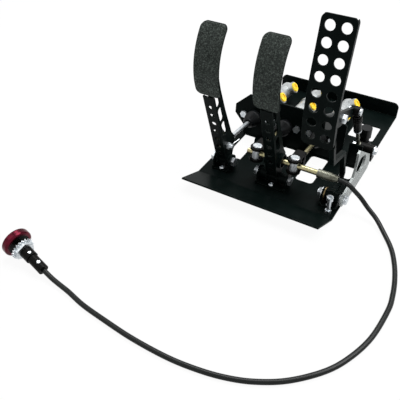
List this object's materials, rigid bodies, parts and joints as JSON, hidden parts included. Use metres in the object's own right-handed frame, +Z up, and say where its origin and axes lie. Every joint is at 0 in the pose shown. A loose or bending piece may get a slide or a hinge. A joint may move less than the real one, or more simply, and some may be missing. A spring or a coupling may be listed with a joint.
{
  "type": "pedal box",
  "caption": "Floor mounted pedal box: clutch, brake and perforated throttle pedals on a folded tray, master cylinders behind a bulkhead and a balance bar with a remote cable knob.",
  "frame": {"origin": "centre of the bounding box's bottom, cable and knob left out, on the underside of the tray", "axes": "+X to the driver's right, +Y forward away from the driver, +Z up"},
  "size_m": [0.5582, 0.7501, 0.3482],
  "materials": {
    "powder_coat": "satin black powder coat",
    "grey_plate": "light grey metal",
    "grip": "gritty dark grey grip",
    "bright_zinc": "bright zinc plate",
    "yellow_zinc": "yellow passivated zinc plate",
    "cylinder_metal": "cast and turned aluminium",
    "boot_rubber": "black rubber",
    "cap_plastic": "yellow plastic",
    "black_oxide": "black oxide",
    "grey_steel": "dark grey steel",
    "bronze": "sintered bronze",
    "red_anodise": "red anodised",
    "cable_sheath": "black sheath"
  },
  "bodies": {
    "base": {"base_tray": "powder_coat", "side_gusset": "grey_plate", "bulkhead": "powder_coat", "clutch_bracket": "powder_coat", "brake_bracket": "powder_coat", "throttle_bracket": "powder_coat", "pivot_bolts": "bright_zinc", "pivot_nuts": "bright_zinc", "clutch_cylinder": "cylinder_metal", "left_cylinder": "cylinder_metal", "right_cylinder": "cylinder_metal", "boots": "boot_rubber", "port_caps": "cap_plastic", "cylinder_bolts": "bright_zinc", "frame_screws": "bright_zinc", "cross_bracket": "powder_coat", "pivot_block": "black_oxide", "linkage_bolt": "bright_zinc", "linkage_nut": "bright_zinc", "bump_stop": "boot_rubber", "throttle_stop": "bright_zinc", "adjuster_barrel": "black_oxide", "set_screws": "bright_zinc", "adjuster_nut": "bright_zinc", "star_washer": "bright_zinc", "bias_cable": "cable_sheath"},
    "clutch": {"clutch_arm": "powder_coat", "clutch_pad": "powder_coat", "clutch_grip": "grip", "clutch_bush": "bronze", "clutch_pin": "bright_zinc"},
    "brake": {"brake_arm": "powder_coat", "brake_pad": "powder_coat", "brake_grip": "grip", "brake_bush": "bronze", "bias_tube": "powder_coat"},
    "throttle": {"throttle_plate": "powder_coat", "throttle_arm": "powder_coat", "throttle_bush": "bronze", "strut_lug": "powder_coat", "strut_pin": "bright_zinc"},
    "clutch_pushrod": {"clutch_clevis": "yellow_zinc", "clutch_rod": "bright_zinc"},
    "left_pushrod": {"left_clevis": "black_oxide", "left_trunnion": "bright_zinc", "left_rod": "yellow_zinc"},
    "right_pushrod": {"right_clevis": "black_oxide", "right_trunnion": "bright_zinc", "right_rod": "yellow_zinc"},
    "clutch_plunger": {"clutch_piston": "cylinder_metal"},
    "left_plunger": {"left_piston": "cylinder_metal"},
    "right_plunger": {"right_piston": "cylinder_metal"},
    "balance_bar": {"bias_bar": "yellow_zinc", "bias_bearing": "bright_zinc", "bias_coupling": "grey_steel"},
    "strut_upper": {"strut_tube": "black_oxide", "strut_collar": "bright_zinc"},
    "strut_lower": {"strut_rod": "grey_steel"},
    "knob": {"knob_ring": "red_anodise", "knob_hub": "black_oxide"}
  },
  "joints": [
    {"name": "clutch_press", "type": "hinge", "parent": "base", "child": "clutch", "pos_m": [-0.098, -0.12, 0.02], "axis": [-1, 0, 0], "range_deg": [0, 16], "stiffness_Nm_per_rad": 6, "springref_deg": -14.32},
    {"name": "brake_press", "type": "hinge", "parent": "base", "child": "brake", "pos_m": [0.004, -0.12, 0.02], "axis": [-1, 0, 0], "range_deg": [0, 16], "stiffness_Nm_per_rad": 8, "springref_deg": -14.32},
    {"name": "throttle_press", "type": "hinge", "parent": "base", "child": "throttle", "pos_m": [0.114, -0.12, 0.02], "axis": [-1, 0, 0], "range_deg": [0, 15], "stiffness_Nm_per_rad": 5, "springref_deg": -17.19},
    {"name": "clutch_rod_swing", "type": "hinge", "parent": "clutch", "child": "clutch_pushrod", "pos_m": [-0.098, -0.12796, 0.05873], "axis": [-1, 0, 0], "range_deg": [-16, 0]},
    {"name": "left_rod_swing", "type": "hinge", "parent": "brake", "child": "left_pushrod", "pos_m": [-0.032, -0.121, 0.058], "axis": [-1, 0, 0], "range_deg": [-16, 0]},
    {"name": "right_rod_swing", "type": "hinge", "parent": "brake", "child": "right_pushrod", "pos_m": [0.04, -0.121, 0.058], "axis": [-1, 0, 0], "range_deg": [-16, 0]},
    {"name": "clutch_stroke", "type": "slide", "parent": "base", "child": "clutch_plunger", "axis": [0, 0.9945, -0.1045], "range_m": [0, 0.012]},
    {"name": "left_stroke", "type": "slide", "parent": "base", "child": "left_plunger", "axis": [0, 0.9945, -0.1045], "range_m": [0, 0.012]},
    {"name": "right_stroke", "type": "slide", "parent": "base", "child": "right_plunger", "axis": [0, 0.9945, -0.1045], "range_m": [0, 0.012]},
    {"name": "throttle_strut_swing", "type": "hinge", "parent": "throttle", "child": "strut_upper", "pos_m": [0.105, -0.017, 0.131], "axis": [-1, 0, 0], "range_deg": [-10, 0]},
    {"name": "strut_rod_swing", "type": "hinge", "parent": "base", "child": "strut_lower", "pos_m": [0.105, 0.041, 0.023], "axis": [-1, 0, 0], "range_deg": [0, 6]},
    {"name": "knob_turn", "type": "hinge", "parent": "base", "child": "knob", "pos_m": [-0.26987, -0.4853, 0.02595], "axis": [-0.9553, 0.21, 0.2079], "continuous": true},
    {"name": "balance_turn", "type": "hinge", "parent": "brake", "child": "balance_bar", "pos_m": [0.004, -0.121, 0.058], "axis": [1, 0, 0], "continuous": true}
  ],
  "couplings": [
    {"joint": "clutch_rod_swing", "follows": "clutch_press", "ratio": -0.9446},
    {"joint": "clutch_stroke", "follows": "clutch_press", "m_per_rad": 0.038816},
    {"joint": "left_rod_swing", "follows": "brake_press", "ratio": -0.9942},
    {"joint": "right_rod_swing", "follows": "brake_press", "ratio": -0.9942},
    {"joint": "left_stroke", "follows": "brake_press", "m_per_rad": 0.037888},
    {"joint": "right_stroke", "follows": "brake_press", "m_per_rad": 0.037888},
    {"joint": "throttle_strut_swing", "follows": "throttle_press", "ratio": -0.6331},
    {"joint": "strut_rod_swing", "follows": "throttle_press", "ratio": 0.3669},
    {"joint": "balance_turn", "follows": "knob_turn", "ratio": -1}
  ]
}
